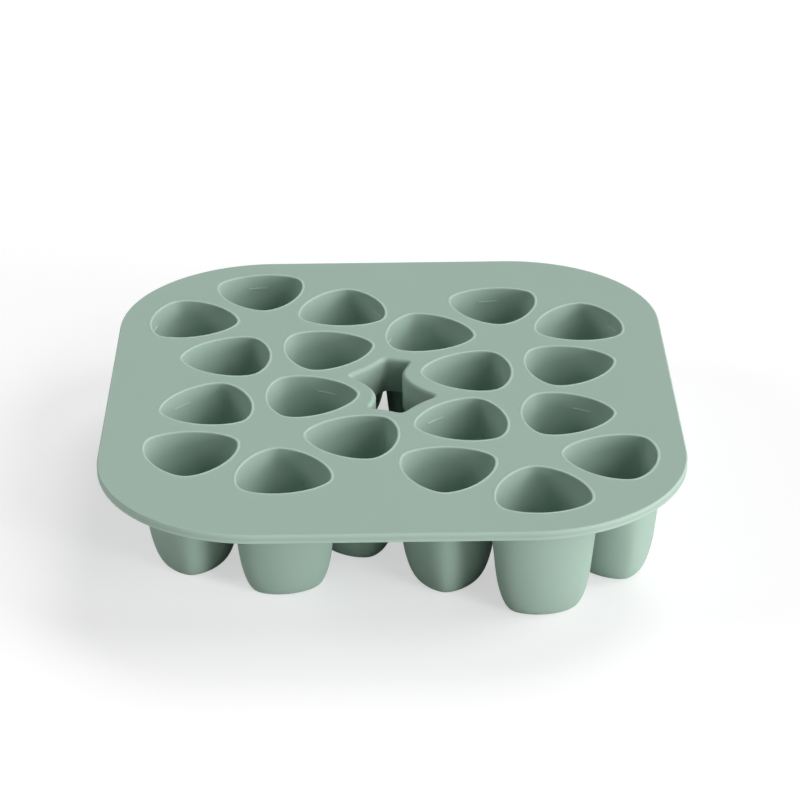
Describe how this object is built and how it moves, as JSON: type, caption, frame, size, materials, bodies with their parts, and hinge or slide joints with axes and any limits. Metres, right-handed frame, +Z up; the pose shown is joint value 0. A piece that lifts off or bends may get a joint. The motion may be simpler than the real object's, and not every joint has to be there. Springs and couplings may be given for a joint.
{
  "type": "baby food freezer tray",
  "caption": "Soft silicone freezer tray: a flat rounded-square deck with drafted triangular cups in flower groups round a star-shaped hole.",
  "frame": {"origin": "middle of the deck seen from above, on the surface that the cups' feet stand on", "axes": "+X to the right and +Y to the back of the tray, +Z up"},
  "size_m": [0.2, 0.2136, 0.0415],
  "materials": {
    "silicone": "satin"
  },
  "bodies": {
    "root": {"deck": "silicone", "hole_skirt": "silicone", "cup_back_left_1": "silicone", "cup_back_left_2": "silicone", "cup_back_left_3": "silicone", "cup_back_left_4": "silicone", "cup_back_left_5": "silicone", "cup_back_right_1": "silicone", "cup_back_right_2": "silicone", "cup_back_right_3": "silicone", "cup_back_right_4": "silicone", "cup_back_right_5": "silicone", "cup_front_right_1": "silicone", "cup_front_right_2": "silicone", "cup_front_right_3": "silicone", "cup_front_right_4": "silicone", "cup_front_right_5": "silicone", "cup_front_left_1": "silicone", "cup_front_left_2": "silicone", "cup_front_left_3": "silicone", "cup_front_left_4": "silicone", "cup_front_left_5": "silicone"}
  },
  "joints": []
}
